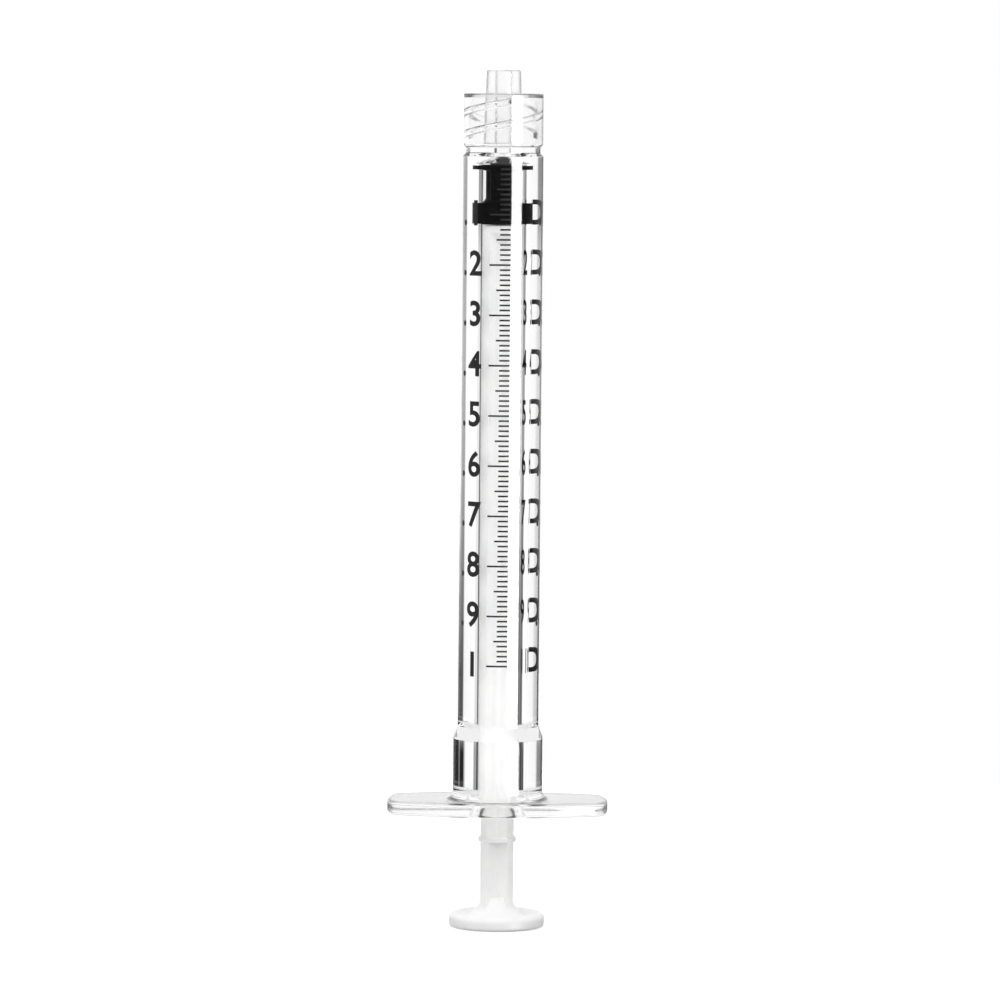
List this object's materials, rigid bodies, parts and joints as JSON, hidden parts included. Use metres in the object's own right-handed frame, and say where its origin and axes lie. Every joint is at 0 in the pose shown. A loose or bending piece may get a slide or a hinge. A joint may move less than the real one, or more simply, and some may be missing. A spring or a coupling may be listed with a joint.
{
  "type": "luer lock syringe",
  "caption": "Slim clear disposable syringe with a threaded luer lock collar, an oblong finger flange, a black rubber stopper and a pale plunger rod, standing on its thumb rest.",
  "frame": {"origin": "centre of the thumb rest's underside, which is the bottom centre of the bounding box", "axes": "+Z along the syringe towards the luer tip, +X along the finger flange, -Y towards the side that carries the printed scale"},
  "size_m": [0.0254, 0.013, 0.099],
  "materials": {
    "barrel_clear": "gloss",
    "stopper_rubber": "satin",
    "rod_plastic": "satin"
  },
  "bodies": {
    "plunger_rod": {"plunger_rod": "rod_plastic"},
    "stopper": {"stopper": "stopper_rubber"},
    "barrel": {"barrel": "barrel_clear"}
  },
  "joints": [
    {"name": "rod_turn", "type": "hinge", "parent": "plunger_rod", "child": "stopper", "pos_m": [0, 0, 0.0833], "axis": [0, 0, 1], "continuous": true},
    {"name": "plunger_slide", "type": "slide", "parent": "stopper", "child": "barrel", "axis": [0, 0, 1], "range_m": [0, 0.0634]}
  ]
}
